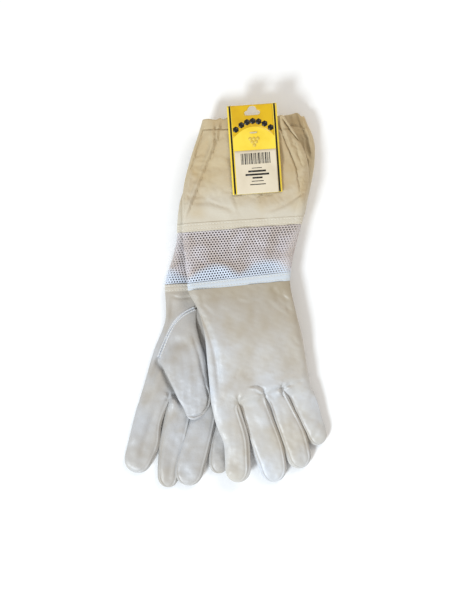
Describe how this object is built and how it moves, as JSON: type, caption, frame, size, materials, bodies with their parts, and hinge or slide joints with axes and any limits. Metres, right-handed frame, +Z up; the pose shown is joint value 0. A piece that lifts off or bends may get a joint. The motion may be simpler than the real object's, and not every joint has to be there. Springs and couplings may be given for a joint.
{
  "type": "beekeeping gloves",
  "caption": "Stacked pair of long beekeeping gloves with leather hands, mesh wrists, canvas gauntlets with gathered cuffs, and a hang card.",
  "frame": {"origin": "middle of the pair's footprint, on the surface it lies on", "axes": "+Y towards the cuffs, +X towards the left glove's little finger, +Z up from the surface"},
  "size_m": [0.2215, 0.4192, 0.0282],
  "materials": {
    "leather": "soft goatskin grain with a light sheen",
    "sidewall_leather": "fine goatskin, slightly darker",
    "binding_leather": "smooth turned leather band, soft gloss",
    "canvas": "closely woven cotton canvas, matt",
    "mesh": "open net with small holes",
    "elastic": "ribbed elastic band",
    "card": "glossy printed card",
    "label": "matt paper label",
    "tack": "clear moulded plastic"
  },
  "bodies": {
    "right_glove": {"right_back_panel": "leather", "right_casing_facing": "canvas", "right_cuff_elastic": "elastic", "right_gauntlet_sleeve": "canvas", "right_little_finger_back": "leather", "right_little_finger_front": "leather", "right_little_finger_sidewalls": "sidewall_leather", "right_mesh_band": "mesh", "right_middle_finger_root": "leather", "right_palm_panel": "leather", "right_ring_finger_root": "leather", "right_sleeve_hem": "canvas", "right_wrist_binding": "binding_leather"},
    "left_glove": {"left_back_panel": "leather", "left_casing_facing": "canvas", "left_cuff_elastic": "elastic", "left_gauntlet_sleeve": "canvas", "left_mesh_band": "mesh", "left_palm_panel": "leather", "left_sleeve_hem": "canvas", "left_thumb_inner": "leather", "left_thumb_outer": "leather", "left_wrist_binding": "binding_leather"},
    "card": {"hang_card": "card", "card_label": "label", "card_tack": "tack"},
    "right_thumb": {"right_thumb_inner": "leather", "right_thumb_outer": "leather"},
    "right_index_finger": {"right_index_finger_back": "leather", "right_index_finger_front": "leather", "right_index_finger_sidewalls": "sidewall_leather"},
    "right_middle_finger": {"right_middle_finger_back": "leather", "right_middle_finger_front": "leather", "right_middle_finger_sidewalls": "sidewall_leather"},
    "right_ring_finger": {"right_ring_finger_back": "leather", "right_ring_finger_front": "leather", "right_ring_finger_sidewalls": "sidewall_leather"},
    "left_index_finger": {"left_index_finger_back": "leather", "left_index_finger_front": "leather", "left_index_finger_sidewalls": "sidewall_leather"},
    "left_middle_finger": {"left_middle_finger_back": "leather", "left_middle_finger_front": "leather", "left_middle_finger_sidewalls": "sidewall_leather"},
    "left_ring_finger": {"left_ring_finger_back": "leather", "left_ring_finger_front": "leather", "left_ring_finger_sidewalls": "sidewall_leather"},
    "left_little_finger": {"left_little_finger_back": "leather", "left_little_finger_front": "leather", "left_little_finger_sidewalls": "sidewall_leather"}
  },
  "joints": [
    {"name": "right_index_finger_bend", "type": "hinge", "parent": "right_glove", "child": "right_index_finger", "pos_m": [-0.07912, -0.11938, 0.009], "axis": [-0.9551, 0.2963, 0], "range_deg": [0, 80]},
    {"name": "right_middle_finger_bend", "type": "hinge", "parent": "right_glove", "child": "right_middle_finger", "pos_m": [-0.05282, -0.13902, 0.009], "axis": [-0.9842, 0.1769, 0], "range_deg": [0, 80]},
    {"name": "right_ring_finger_bend", "type": "hinge", "parent": "right_glove", "child": "right_ring_finger", "pos_m": [-0.02631, -0.13784, 0.009], "axis": [-0.9779, 0.209, 0], "range_deg": [0, 80]},
    {"name": "left_index_finger_bend", "type": "hinge", "parent": "left_glove", "child": "left_index_finger", "pos_m": [-0.00033, -0.11601, 0.02315], "axis": [-0.987, -0.1608, 0], "range_deg": [0, 80]},
    {"name": "left_middle_finger_bend", "type": "hinge", "parent": "left_glove", "child": "left_middle_finger", "pos_m": [0.02862, -0.11172, 0.01972], "axis": [-0.9682, -0.2501, 0], "range_deg": [0, 80]},
    {"name": "left_ring_finger_bend", "type": "hinge", "parent": "left_glove", "child": "left_ring_finger", "pos_m": [0.05486, -0.10549, 0.01715], "axis": [-0.9393, -0.3431, 0], "range_deg": [0, 80]},
    {"name": "left_little_finger_bend", "type": "hinge", "parent": "left_glove", "child": "left_little_finger", "pos_m": [0.08079, -0.09926, 0.01317], "axis": [-0.9345, -0.3561, 0], "range_deg": [0, 80]},
    {"name": "right_thumb_lift", "type": "hinge", "parent": "right_glove", "child": "right_thumb", "pos_m": [-0.0535, -0.042, 0.0174], "axis": [-0.615, -0.7885, 0], "range_deg": [0, 70]},
    {"name": "left_glove_lift", "type": "slide", "parent": "right_glove", "child": "left_glove", "axis": [0, 0, 1], "range_m": [0, 0.15]},
    {"name": "card_swing", "type": "hinge", "parent": "left_glove", "child": "card", "pos_m": [0.0303, 0.17764, 0.0249], "axis": [0, 0, 1], "range_deg": [-25, 25]}
  ]
}
